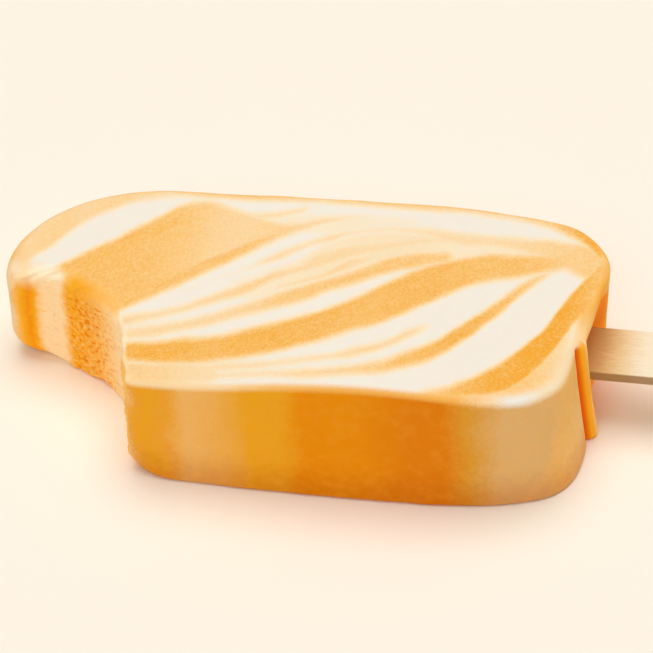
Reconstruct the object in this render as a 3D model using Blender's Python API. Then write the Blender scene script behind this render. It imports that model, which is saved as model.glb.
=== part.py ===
"""An extruded two-flavour ice cream bar on a flat wooden stick, lying on its broad face, one corner bitten off.

The bar lies along X with its stick towards +X. Its measures are taken from the middle of its outline and from
the surface that it lies on. An empty, the parent of all, puts the origin at the bottom centre of the whole.
"""

import math

import bmesh
import bpy
from mathutils import Vector, noise

MM = 0.001

# The bar: an oval slab, rounder at the end that was bitten than at the stick
ROUND_END = 52.7 * MM
STICK_END = 42.7 * MM
HALF_WIDTH = 22.75 * MM
THICKNESS = 22.2 * MM
ROUND_END_POWER = 2.62
FAR_CORNER_POWER = 7.2
NEAR_CORNER_POWER = 4.3

# The far side is a little hollow on the bite's half and full on the stick's: (how far it stands out, x, reach)
FAR_SIDE_WAVES = ((-0.7 * MM, -19 * MM, 13 * MM), (0.45 * MM, 17 * MM, 9 * MM))

# The upper cut face isn't level: it swells a little towards the near edge, and falls off beside the bite by
# the first drop at the far side and the second at the near side
SWELL = 2.5 * MM
SWELL_X = 12 * MM
SWELL_REACH = 22 * MM
BITE_SIDE_DROP = (0.6 * MM, 1.8 * MM)
DROP_ALONG_X = (0, -40 * MM)

# How far each edge is rounded: (in plan, in height)
TOP_EDGE = (1.5 * MM, 1.5 * MM)
TOP_EDGE_AT_BITE = (2.9 * MM, 2.2 * MM)
TOP_EDGE_BESIDE_BITE = (1.0 * MM, 1.0 * MM)
TOP_EDGE_AT_NEAR_CORNER = (2.6 * MM, 2.2 * MM)
TOP_EDGE_AT_ROUND_END = (3.1 * MM, 4.6 * MM)
BOTTOM_EDGE = (0.9 * MM, 0.9 * MM)
BOTTOM_EDGE_AT_ROUND_END = (3.2 * MM, 6.0 * MM)
BOTTOM_EDGE_BESIDE_BITE = (2.4 * MM, 7.5 * MM)
BOTTOM_EDGE_AT_FAR_SHOULDER = (1.4 * MM, 2.5 * MM)

# Where each of those roundings comes in: from the first place, and fully from the second
NEAR_CORNER_ALONG_X = (18 * MM, 34 * MM)
NEAR_CORNER_ALONG_Y = (-6 * MM, -16 * MM)
ROUND_TOP_ALONG_X = (-30 * MM, -50 * MM)
ROUND_BOTTOM_ALONG_X = (-40 * MM, -50 * MM)
SHOULDER_ALONG_Y = (-4 * MM, 4 * MM)
BESIDE_BITE_ALONG_Y = (-15 * MM, -20 * MM)
BESIDE_BITE_REACH = 3.5 * MM
SHARP_RIM_ALONG_Y = (-4 * MM, -8 * MM)

# The near walls stand out more at the bottom, where the ice cream has settled, and the far shoulder less
SETTLE_AT_STICK = 2.0 * MM
SETTLE_AT_FAR_SHOULDER = -1.0 * MM
SETTLE_NEAR_SIDE = 0.9 * MM
NEAR_SIDE_ALONG_Y = (-12 * MM, -20 * MM)

# The stick end: a rib stands out on the near side of the stick behind a crease, the far shoulder stands out
# more, and the wall is drawn in round the stick. The upper rim has a softer rib and shoulder of its own. All of
# it fades out round the corners of the end
END_WALL_ALONG_X = (STICK_END - 8 * MM, STICK_END - 2.5 * MM)
CREASE_Y = -5.8 * MM
CREASE_WIDTH = 0.7 * MM
CREASE_DEPTH = 1.2 * MM
RIB_STEP = 1.0 * MM
RIB_SWELL = 0.4 * MM
RIB_HALF_WIDTH = 1.5 * MM
SHOULDER = 2.0 * MM
SHOULDER_STARTS_ALONG_Y = (6.0 * MM, 10.5 * MM)
SHOULDER_ENDS_ALONG_Y = (20.5 * MM, 12.5 * MM)
RIM_ALONG_Z = (20.0 * MM, 22.0 * MM)
RIM_RIB = 0.4 * MM
RIM_RIB_Y = -4.5 * MM
RIM_RIB_REACH = 2.2 * MM
RIM_SHOULDER_STARTS_ALONG_Y = (-4.0 * MM, 10.0 * MM)
RECESS_DEPTH = 1.9 * MM
RECESS_STARTS_ALONG_Y = (-4.6 * MM, -1.8 * MM)
RECESS_ENDS_ALONG_Y = (11.0 * MM, 7.5 * MM)
RECESS_HALF_HEIGHT = 6.0 * MM

# The bite: an oval scoop with tooth scallops, which leaves a blunt horn at the round end
BITE_X = -46.8 * MM
BITE_Y = -22.6 * MM
BITE_LONG = 18.4 * MM
BITE_WIDE = 22.6 * MM
BITE_POWER = 2.3
SCALLOP = 0.7 * MM
SCALLOPS_PER_TURN = 8
CORNER_BLUNTING = 1.7 * MM
HORN_BLUNTING = 5.6 * MM
HORN_ALONG_Y = (-14 * MM, -4 * MM)
BITE_STARTS = -0.2
BITE_IS_WHOLE = 0.6
CRAG = 0.32 * MM
CRAG_SIZE = 1.7 * MM
WAVE = 0.4 * MM
WAVE_SIZE = 7.0 * MM

# The stick
STICK_LENGTH = 114 * MM
STICK_WIDTH = 10 * MM
STICK_DEPTH = 2 * MM
STICK_SUNK = 52 * MM
STICK_Y = 2.6 * MM
STICK_Z = 11.7 * MM
STICK_EDGE = 0.3 * MM
POCKET_GAP = 0.3 * MM

# How finely the faceted solids follow their shapes
HEART = Vector((-6 * MM, 14 * MM))
RAYS = 1440
SHORTEST_RAY = 5 * MM
LONGEST_RAY = 70 * MM
HALVINGS = 30
PLAIN_SPACING = 3.0 * MM
BITE_SPACING = 1.0 * MM
CREASE_SPACING = 0.4 * MM
CREASE_REACH = 1.6 * MM
WALL_STEPS = 15
EDGE_STEPS = 3
FACE_SHARES = (0.12, 0.35, 0.6, 0.8, 0.93)
STICK_END_STEPS = 16
SMOOTH_ANGLE = math.radians(35)


def clear_scene():
    for obj in list(bpy.data.objects):
        bpy.data.objects.remove(obj)


def rise(value, start, end):
    """0 before start, 1 after end, and a slope between them that eases in and out."""
    share = min(max((value - start) / (end - start), 0), 1)
    return share * share * (3 - 2 * share)


def bell(value, middle, reach):
    return math.exp(-(((value - middle) / reach) ** 2))


def between(first, second, share):
    return first + (second - first) * share


def off_oval(x, y, half_long, half_wide, power):
    """About how far the point (x, y) is outside a superellipse round the origin, negative inside it."""
    across, up = abs(x) / half_long, abs(y) / half_wide
    ratio = (across**power + up**power) ** (1 / power)
    steepness = math.hypot(across ** (power - 1) / half_long, up ** (power - 1) / half_wide)
    return (ratio - 1) * ratio ** (power - 1) / steepness


def off_slab(x, y):
    """How far (x, y) is outside the bar's outline before the bite."""
    turn = math.atan2(y / HALF_WIDTH, x / (STICK_END if x > 0 else ROUND_END))
    stick_side = 0.5 + 0.5 * math.cos(turn)
    far_side = 0.5 + 0.5 * math.sin(turn)
    square = between(NEAR_CORNER_POWER, FAR_CORNER_POWER, far_side)
    power = between(ROUND_END_POWER, square, stick_side)
    waves = sum(out * bell(x, middle, reach) for out, middle, reach in FAR_SIDE_WAVES)
    return off_oval(x, y, STICK_END if x > 0 else ROUND_END, HALF_WIDTH, power) - waves * rise(y, 0, HALF_WIDTH)


def off_bite(x, y):
    """How far (x, y) is outside the bite."""
    across, up = x - BITE_X, y - BITE_Y
    scallop = SCALLOP * (abs(math.sin(SCALLOPS_PER_TURN / 2 * math.atan2(up, across) + math.pi / 2)) - 0.5)
    return off_oval(across, up, BITE_LONG, BITE_WIDE, BITE_POWER) - scallop


def blunting(y):
    """How far the corner between the outline and the bite is blunted, at the horn and at the near corner."""
    return between(CORNER_BLUNTING, HORN_BLUNTING, rise(y, *HORN_ALONG_Y))


def off_plan(x, y):
    """How far (x, y) is outside the bitten bar's plan."""
    slab, bite, blunt = off_slab(x, y), -off_bite(x, y), blunting(y)
    overlap = max(blunt - abs(slab - bite), 0) / blunt
    return max(slab, bite) + overlap * overlap * blunt / 4


def bite_share(x, y):
    """1 on the bite's wall, 0 on the bar's own walls and on the blunted corners between them."""
    blunt = blunting(y)
    return rise(-off_bite(x, y) - off_slab(x, y), BITE_STARTS * blunt, BITE_IS_WHOLE * blunt)


def edge_of_plan(turn):
    """Where the ray at this turn from the heart of the bar leaves its plan."""
    ray = Vector((math.cos(turn), math.sin(turn)))
    low, high = SHORTEST_RAY, LONGEST_RAY
    for _ in range(HALVINGS):
        middle = (low + high) / 2
        if off_plan(*(HEART + ray * middle)) < 0:
            low = middle
        else:
            high = middle
    return HEART + ray * low


def end_profile(y, z):
    """How far the stick end stands out past the plain outline at height z: less sharply at the upper rim."""
    step = RIB_STEP * rise(y, CREASE_Y - CREASE_WIDTH / 2, CREASE_Y + CREASE_WIDTH / 2)
    crease = CREASE_DEPTH * bell(y, CREASE_Y - CREASE_WIDTH / 2, CREASE_WIDTH)
    rib = RIB_SWELL * bell(y, CREASE_Y + RIB_HALF_WIDTH, RIB_HALF_WIDTH)
    shoulder = (SHOULDER - RIB_STEP) * rise(y, *SHOULDER_STARTS_ALONG_Y)
    rim_rib = RIM_RIB * bell(y, RIM_RIB_Y, RIM_RIB_REACH)
    rim_shoulder = SHOULDER * rise(y, *RIM_SHOULDER_STARTS_ALONG_Y)
    profile = between(step - crease + rib + shoulder, rim_rib + rim_shoulder, rise(z, *RIM_ALONG_Z))
    return profile * rise(y, *SHOULDER_ENDS_ALONG_Y)


def end_wall(x):
    """1 on the stick end's wall, fading to 0 round its corners."""
    return rise(x, *END_WALL_ALONG_X)


def spacing(point):
    """How far apart the points round the plan are here."""
    crease = bell(point.y, CREASE_Y, CREASE_REACH) * end_wall(point.x)
    on_bite = bite_share(*point)
    return min(between(PLAIN_SPACING, BITE_SPACING, on_bite), between(PLAIN_SPACING, CREASE_SPACING, crease))


def plan_points():
    """(point, way out) round the plan, close together on the bite and at the crease."""
    plain = [edge_of_plan(math.tau * index / RAYS) for index in range(RAYS)]
    ways_out = []
    for index in range(RAYS):
        along = plain[(index + 1) % RAYS] - plain[index - 1]
        ways_out.append(Vector((along.y, -along.x)).normalized())
    weights = [(plain[index] - plain[index - 1]).length / spacing(plain[index]) for index in range(RAYS)]
    count = round(sum(weights))
    step = sum(weights) / count
    picked, passed = [], 0
    for index in range(RAYS):
        passed += weights[index]
        if passed >= step * (len(picked) + 0.5):
            picked.append((plain[index], ways_out[index]))
    return picked


def top_height(x, y):
    """The height of the upper cut face."""
    nearness = rise(-y, -HALF_WIDTH, HALF_WIDTH)
    swell = SWELL * bell(x, SWELL_X, SWELL_REACH) * nearness
    drop = between(*BITE_SIDE_DROP, nearness) * rise(x, *DROP_ALONG_X)
    return THICKNESS + swell - drop


def top_edge(x, y):
    """(in plan, in height) of the upper edge's rounding."""
    on_bite = bite_share(x, y)
    at_corner = rise(x, *NEAR_CORNER_ALONG_X) * rise(y, *NEAR_CORNER_ALONG_Y)
    at_round_end = rise(x, *ROUND_TOP_ALONG_X)
    beside = rise(y, *SHARP_RIM_ALONG_Y)
    bitten = [between(wide, sharp, beside) for wide, sharp in zip(TOP_EDGE_AT_BITE, TOP_EDGE_BESIDE_BITE)]
    edges = zip(TOP_EDGE, TOP_EDGE_AT_NEAR_CORNER, TOP_EDGE_AT_ROUND_END, bitten)
    return [
        between(between(between(plain, corner, at_corner), end, at_round_end), at_bite, on_bite)
        for plain, corner, end, at_bite in edges
    ]


def bottom_edge(x, y):
    """(in plan, in height) of the lower edge's rounding."""
    at_round_end = rise(x, *ROUND_BOTTOM_ALONG_X)
    at_shoulder = end_wall(x) * rise(y, *SHOULDER_ALONG_Y)
    beside_bite = bell(x, BITE_X + BITE_LONG, BESIDE_BITE_REACH) * rise(y, *BESIDE_BITE_ALONG_Y)
    edges = zip(BOTTOM_EDGE, BOTTOM_EDGE_AT_ROUND_END, BOTTOM_EDGE_AT_FAR_SHOULDER, BOTTOM_EDGE_BESIDE_BITE)
    return [
        between(between(between(plain, end, at_round_end), shoulder, at_shoulder), beside, beside_bite)
        for plain, end, shoulder, beside in edges
    ]


def settle(x, y, z):
    """How far a wall stands out at height z: the full settling lies between its foot and its top."""
    at_stick = between(SETTLE_AT_STICK, SETTLE_AT_FAR_SHOULDER, rise(y, *SHOULDER_ALONG_Y))
    near_side = SETTLE_NEAR_SIDE * rise(y, *NEAR_SIDE_ALONG_Y)
    return between(near_side, at_stick, end_wall(x)) * (0.5 - z / THICKNESS)


def recess(y, z):
    """How far the end wall is drawn in round the stick."""
    beside_stick = rise(y, *RECESS_STARTS_ALONG_Y) * rise(y, *RECESS_ENDS_ALONG_Y)
    return RECESS_DEPTH * beside_stick * bell(z, STICK_Z, RECESS_HALF_HEIGHT)


def crags(place):
    """How far the bite's rough wall stands out here."""
    rough = CRAG * noise.noise(place / CRAG_SIZE) + WAVE * noise.noise(place / WAVE_SIZE)
    return rough * bite_share(place.x, place.y)


def wall_point(point, way_out, inset, z):
    """The point at height z on the wall above this plan point, drawn in by inset."""
    x, y = point
    place = Vector((x, y, z))
    out = settle(x, y, z) + crags(place) - inset
    along = end_wall(x) * (end_profile(y, z) - recess(y, z))
    return place + way_out.to_3d() * out + Vector((along, 0, 0))


def wall_column(point, way_out):
    """The points up the wall at one point of the plan, with both rounded edges."""
    x, y = point
    low_in, low_up = bottom_edge(x, y)
    high_in, high_down = top_edge(x, y)
    top = top_height(x, y)
    column = []
    quarter = [math.pi / 2 * step / EDGE_STEPS for step in range(EDGE_STEPS + 1)]
    for angle in quarter:
        z = low_up * (1 - math.cos(angle))
        column.append(wall_point(point, way_out, low_in * (1 - math.sin(angle)), z))
    for step in range(1, WALL_STEPS):
        z = between(low_up, top - high_down, step / WALL_STEPS)
        column.append(wall_point(point, way_out, 0, z))
    for angle in quarter:
        z = top - high_down * (1 - math.sin(angle))
        column.append(wall_point(point, way_out, high_in * (1 - math.cos(angle)), z))
    return column


def face_ring(rim, share, height):
    """The rim drawn towards the bar's heart by share, each point at the height that height(x, y) gives."""
    ring = []
    for place in rim:
        x, y = place.xy.lerp(HEART, share)
        ring.append(Vector((x, y, height(x, y))))
    return ring


def body_rings():
    columns = [wall_column(point, way_out) for point, way_out in plan_points()]
    walls = [list(ring) for ring in zip(*columns)]
    lower = [face_ring(walls[0], share, lambda x, y: 0) for share in reversed(FACE_SHARES[:2])]
    upper = [face_ring(walls[-1], share, top_height) for share in FACE_SHARES]
    return lower + walls + upper


def ring_of_edges(bm, points):
    """A closed ring of edges through points."""
    made = bmesh.ops.create_circle(bm, segments=len(points), radius=1)
    for vert, point in zip(made["verts"], points):
        vert.co = point
    return list({edge for vert in made["verts"] for edge in vert.link_edges})


def skin_over(bm, rings):
    """Bridges each ring to the next, and closes the first and the last."""
    loops = [ring_of_edges(bm, points) for points in rings]
    for lower, upper in zip(loops, loops[1:]):
        bmesh.ops.bridge_loops(bm, edges=lower + upper)
    bmesh.ops.edgeloop_fill(bm, edges=loops[0])
    bmesh.ops.edgeloop_fill(bm, edges=loops[-1])
    bmesh.ops.recalc_face_normals(bm, faces=bm.faces)


def add_object(name, bm, material=None):
    mesh = bpy.data.meshes.new(name)
    bm.to_mesh(mesh)
    bm.free()
    obj = bpy.data.objects.new(name, mesh)
    bpy.context.scene.collection.objects.link(obj)
    if material:
        mesh.materials.append(material)
        mesh.shade_smooth()
        mesh.set_sharp_from_angle(angle=SMOOTH_ANGLE)
    return obj


def finish_material(name, colour, roughness):
    material = bpy.data.materials.new(name)
    material.use_nodes = True
    shader = material.node_tree.nodes["Principled BSDF"]
    shader.inputs["Base Color"].default_value = (*colour, 1)
    shader.inputs["Roughness"].default_value = roughness
    shader.inputs["Metallic"].default_value = 0
    return material


def add_bar():
    bm = bmesh.new()
    skin_over(bm, body_rings())
    return add_object("ice_cream", bm, finish_material("ice_cream", (0.98, 0.62, 0.24), 0.55))


def flat_bar(length, width, depth):
    """A bmesh of a flat bar with half-round ends, its middle at the origin."""
    outline = []
    for end in (1, -1):
        for step in range(STICK_END_STEPS + 1):
            angle = math.pi * step / STICK_END_STEPS - math.pi / 2 * end
            across = end * (length - width) / 2 + width / 2 * math.cos(angle)
            outline.append(Vector((across, width / 2 * math.sin(angle), -depth / 2)))
    bm = bmesh.new()
    bmesh.ops.edgeloop_fill(bm, edges=ring_of_edges(bm, outline))
    raised = bmesh.ops.extrude_face_region(bm, geom=bm.faces[:])
    verts = [item for item in raised["geom"] if isinstance(item, bmesh.types.BMVert)]
    bmesh.ops.translate(bm, verts=verts, vec=(0, 0, depth))
    bmesh.ops.recalc_face_normals(bm, faces=bm.faces)
    return bm


def stick_middle():
    """Where the stick's middle is: STICK_SUNK of its length is inside the bar."""
    face_x = STICK_END + SHOULDER
    return Vector((face_x - STICK_SUNK + STICK_LENGTH / 2, STICK_Y, STICK_Z))


def cut_pocket(bar):
    """Cuts the stick's pocket out of the bar."""
    size = [side + 2 * POCKET_GAP for side in (STICK_LENGTH, STICK_WIDTH, STICK_DEPTH)]
    cutter = add_object("pocket_cutter", flat_bar(*size))
    cutter.location = stick_middle()
    cutter.hide_render = True
    cutter.display_type = "WIRE"
    cut = bar.modifiers.new("pocket", "BOOLEAN")
    cut.operation = "DIFFERENCE"
    cut.solver = "EXACT"
    cut.object = cutter
    return cutter


def add_stick():
    bm = flat_bar(STICK_LENGTH, STICK_WIDTH, STICK_DEPTH)
    rims = [edge for edge in bm.edges if abs(edge.verts[0].co.z - edge.verts[1].co.z) < STICK_DEPTH / 2]
    bmesh.ops.bevel(bm, geom=rims, offset=STICK_EDGE, segments=2, profile=0.5, affect="EDGES", material=-1)
    stick = add_object("stick", bm, finish_material("stick_wood", (0.80, 0.62, 0.42), 0.65))
    stick.location = stick_middle()
    return stick


def stand_on_origin(solids, cutters):
    """Parents everything to an empty that puts the origin at the bottom centre of the solids."""
    corners = [obj.location + vert.co for obj in solids for vert in obj.data.vertices]
    low = Vector([min(corner[axis] for corner in corners) for axis in range(3)])
    high = Vector([max(corner[axis] for corner in corners) for axis in range(3)])
    whole = bpy.data.objects.new("ice_cream_bar", None)
    whole.location = (-(low.x + high.x) / 2, -(low.y + high.y) / 2, -low.z)
    bpy.context.scene.collection.objects.link(whole)
    for obj in solids + cutters:
        obj.parent = whole


clear_scene()
bar = add_bar()
pocket = cut_pocket(bar)
stick = add_stick()
stand_on_origin([bar, stick], [pocket])
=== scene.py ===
import math

import bmesh
import bpy
from mathutils import Matrix, Vector, noise


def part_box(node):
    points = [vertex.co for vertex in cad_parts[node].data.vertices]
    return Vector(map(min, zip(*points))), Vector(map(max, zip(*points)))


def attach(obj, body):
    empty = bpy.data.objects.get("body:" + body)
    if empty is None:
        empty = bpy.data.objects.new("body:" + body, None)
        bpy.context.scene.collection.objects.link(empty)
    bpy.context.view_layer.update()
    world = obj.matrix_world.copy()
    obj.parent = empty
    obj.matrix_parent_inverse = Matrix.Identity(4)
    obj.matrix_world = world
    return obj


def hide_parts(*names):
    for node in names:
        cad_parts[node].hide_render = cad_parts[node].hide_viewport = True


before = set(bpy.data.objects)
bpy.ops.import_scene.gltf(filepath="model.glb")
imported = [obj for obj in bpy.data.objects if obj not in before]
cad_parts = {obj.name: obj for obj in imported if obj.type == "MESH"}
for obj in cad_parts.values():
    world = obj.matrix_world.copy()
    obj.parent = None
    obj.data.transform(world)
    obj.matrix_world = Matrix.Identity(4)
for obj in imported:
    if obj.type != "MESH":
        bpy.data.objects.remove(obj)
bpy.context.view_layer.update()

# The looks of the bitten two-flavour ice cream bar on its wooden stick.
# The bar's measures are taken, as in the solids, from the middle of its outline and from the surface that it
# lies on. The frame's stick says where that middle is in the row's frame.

MM = 0.001

# The bar: an oval slab, rounder at the end that was bitten than at the stick
ROUND_END = 52.7 * MM
STICK_END = 42.7 * MM
HALF_WIDTH = 22.75 * MM
THICKNESS = 22.2 * MM
ROUND_END_POWER = 2.62
FAR_CORNER_POWER = 7.2
NEAR_CORNER_POWER = 4.3

# The far side is a little hollow on the bite's half and full on the stick's: (way out, x, reach)
FAR_SIDE_WAVES = ((-0.7 * MM, -19 * MM, 13 * MM), (0.45 * MM, 17 * MM, 9 * MM))

# The upper cut face swells a little towards the near edge, and falls off beside the bite
SWELL = 2.5 * MM
SWELL_X = 12 * MM
SWELL_REACH = 22 * MM
BITE_SIDE_DROP = (0.6 * MM, 1.8 * MM)
DROP_ALONG_X = (0, -40 * MM)

# How far each edge is rounded: (in plan, in height)
TOP_EDGE = (1.5 * MM, 1.5 * MM)
TOP_EDGE_AT_BITE = (2.9 * MM, 2.2 * MM)
TOP_EDGE_BESIDE_BITE = (1.0 * MM, 1.0 * MM)
TOP_EDGE_AT_NEAR_CORNER = (2.6 * MM, 2.2 * MM)
TOP_EDGE_AT_ROUND_END = (3.1 * MM, 4.6 * MM)
BOTTOM_EDGE = (0.9 * MM, 0.9 * MM)
BOTTOM_EDGE_AT_ROUND_END = (3.2 * MM, 6.0 * MM)
BOTTOM_EDGE_BESIDE_BITE = (2.4 * MM, 7.5 * MM)
BOTTOM_EDGE_AT_FAR_SHOULDER = (1.4 * MM, 2.5 * MM)

# Where each of those roundings comes in: from the first place, and fully from the second
NEAR_CORNER_ALONG_X = (18 * MM, 34 * MM)
NEAR_CORNER_ALONG_Y = (-6 * MM, -16 * MM)
ROUND_TOP_ALONG_X = (-30 * MM, -50 * MM)
ROUND_BOTTOM_ALONG_X = (-40 * MM, -50 * MM)
SHOULDER_ALONG_Y = (-4 * MM, 4 * MM)
BESIDE_BITE_ALONG_Y = (-15 * MM, -20 * MM)
BESIDE_BITE_REACH = 3.5 * MM
SHARP_RIM_ALONG_Y = (-4 * MM, -8 * MM)

# The near walls stand out more at the bottom, where the ice cream has settled, and the far shoulder less
SETTLE_AT_STICK = 2.0 * MM
SETTLE_AT_FAR_SHOULDER = -1.0 * MM
SETTLE_NEAR_SIDE = 0.9 * MM
NEAR_SIDE_ALONG_Y = (-12 * MM, -20 * MM)

# The stick end: a rib behind a crease, a far shoulder, a recess round the stick and a softer upper rim
END_WALL_ALONG_X = (STICK_END - 8 * MM, STICK_END - 2.5 * MM)
CREASE_Y = -5.8 * MM
CREASE_WIDTH = 0.7 * MM
CREASE_DEPTH = 1.2 * MM
RIB_STEP = 1.0 * MM
RIB_SWELL = 0.4 * MM
RIB_HALF_WIDTH = 1.5 * MM
SHOULDER = 2.0 * MM
SHOULDER_STARTS_ALONG_Y = (6.0 * MM, 10.5 * MM)
SHOULDER_ENDS_ALONG_Y = (20.5 * MM, 12.5 * MM)
RIM_ALONG_Z = (20.0 * MM, 22.0 * MM)
RIM_RIB = 0.4 * MM
RIM_RIB_Y = -4.5 * MM
RIM_RIB_REACH = 2.2 * MM
RIM_SHOULDER_STARTS_ALONG_Y = (-4.0 * MM, 10.0 * MM)
RECESS_DEPTH = 1.9 * MM
RECESS_STARTS_ALONG_Y = (-4.6 * MM, -1.8 * MM)
RECESS_ENDS_ALONG_Y = (11.0 * MM, 7.5 * MM)
RECESS_HALF_HEIGHT = 6.0 * MM

# The bite: an oval scoop with tooth scallops, which leaves a blunt horn at the round end
BITE_X = -46.8 * MM
BITE_Y = -22.6 * MM
BITE_LONG = 18.4 * MM
BITE_WIDE = 22.6 * MM
BITE_POWER = 2.3
SCALLOP = 0.7 * MM
SCALLOPS_PER_TURN = 8
CORNER_BLUNTING = 1.7 * MM
HORN_BLUNTING = 5.6 * MM
HORN_ALONG_Y = (-14 * MM, -4 * MM)
BITE_STARTS = -0.2
BITE_IS_WHOLE = 0.6

# Relief: (how far it stands out, how large it is)
CRAGS = (0.32 * MM, 1.7 * MM)
WAVES = (0.4 * MM, 7.0 * MM)
CRUMBS = (0.30 * MM, 0.60 * MM)
CRUMB_LAYERS = 2
CRUMBS_BETWEEN_TURNS = (math.radians(80), math.radians(75))
CRUMBS_BELOW = (20.5 * MM, 16.0 * MM)
SMOOTH_SHARE = 0.25
WALL_LUMPS = (0.12 * MM, 5.0 * MM)
FACE_LUMPS = (0.10 * MM, 4.0 * MM)

# The stick
STICK_LENGTH = 114 * MM
STICK_SUNK = 52 * MM
STICK_DEPTH = 2 * MM
STICK_Y = 2.6 * MM
STICK_Z = 11.7 * MM

# How finely the piece follows its shape, by rays from a place inside it
HEART = Vector((-6 * MM, 14 * MM))
RAYS = 5760
SHORTEST_RAY = 5 * MM
LONGEST_RAY = 70 * MM
HALVINGS = 26
PLAIN_SPACING = 0.9 * MM
BITE_SPACING = 0.2 * MM
CREASE_SPACING = 0.2 * MM
CREASE_REACH = 1.6 * MM
WALL_STEPS = 96
EDGE_STEPS = 8
UNDERSIDE_SHARES = (0.1, 0.35, 0.7)

# The cut face's rings crowd towards its rim, and reach its own height within FACE_RIM_SHARE of the way in
FACE_STEPS = 34
FACE_CROWDING = 1.15
FACE_RIM_SHARE = 1 / 12

# The view: where the camera stands and looks
CAMERA_AZIMUTH = math.radians(12)
CAMERA_ELEVATION = math.radians(46)
CAMERA_ROLL = math.radians(3.5)
CAMERA_DISTANCE = 700 * MM
CAMERA_SENSOR = 36
PIXELS_ACROSS = 653
PIXELS_PER_MM = 6.2
CAMERA_LOOKS_AT = (0, 3.8 * MM, 11 * MM)
CAMERA_CLIP_START = 10 * MM

# The sky, a soft light from in front and a softer one from above, and the floor, in metres
SKY = 0.3
SKY_COLOUR = (1.0, 0.97, 0.86)
FRONT_LIGHT = 0.6
FRONT_LIGHT_FROM = (-0.05, -0.60, 0.80)
FRONT_LIGHT_SPREAD = math.radians(35)
TOP_LIGHT = 1.82
TOP_LIGHT_FROM = (0, 0.15, 1)
TOP_LIGHT_SPREAD = math.radians(44)
FLOOR_SIZE = 30.0
FLOOR_COLOUR = (0.965, 0.889, 0.792)
FLOOR_CLOUD = 0.4
FLOOR_CLOUD_SHADE = 1.004
FLOOR_ROUGHNESS = 0.9

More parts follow.
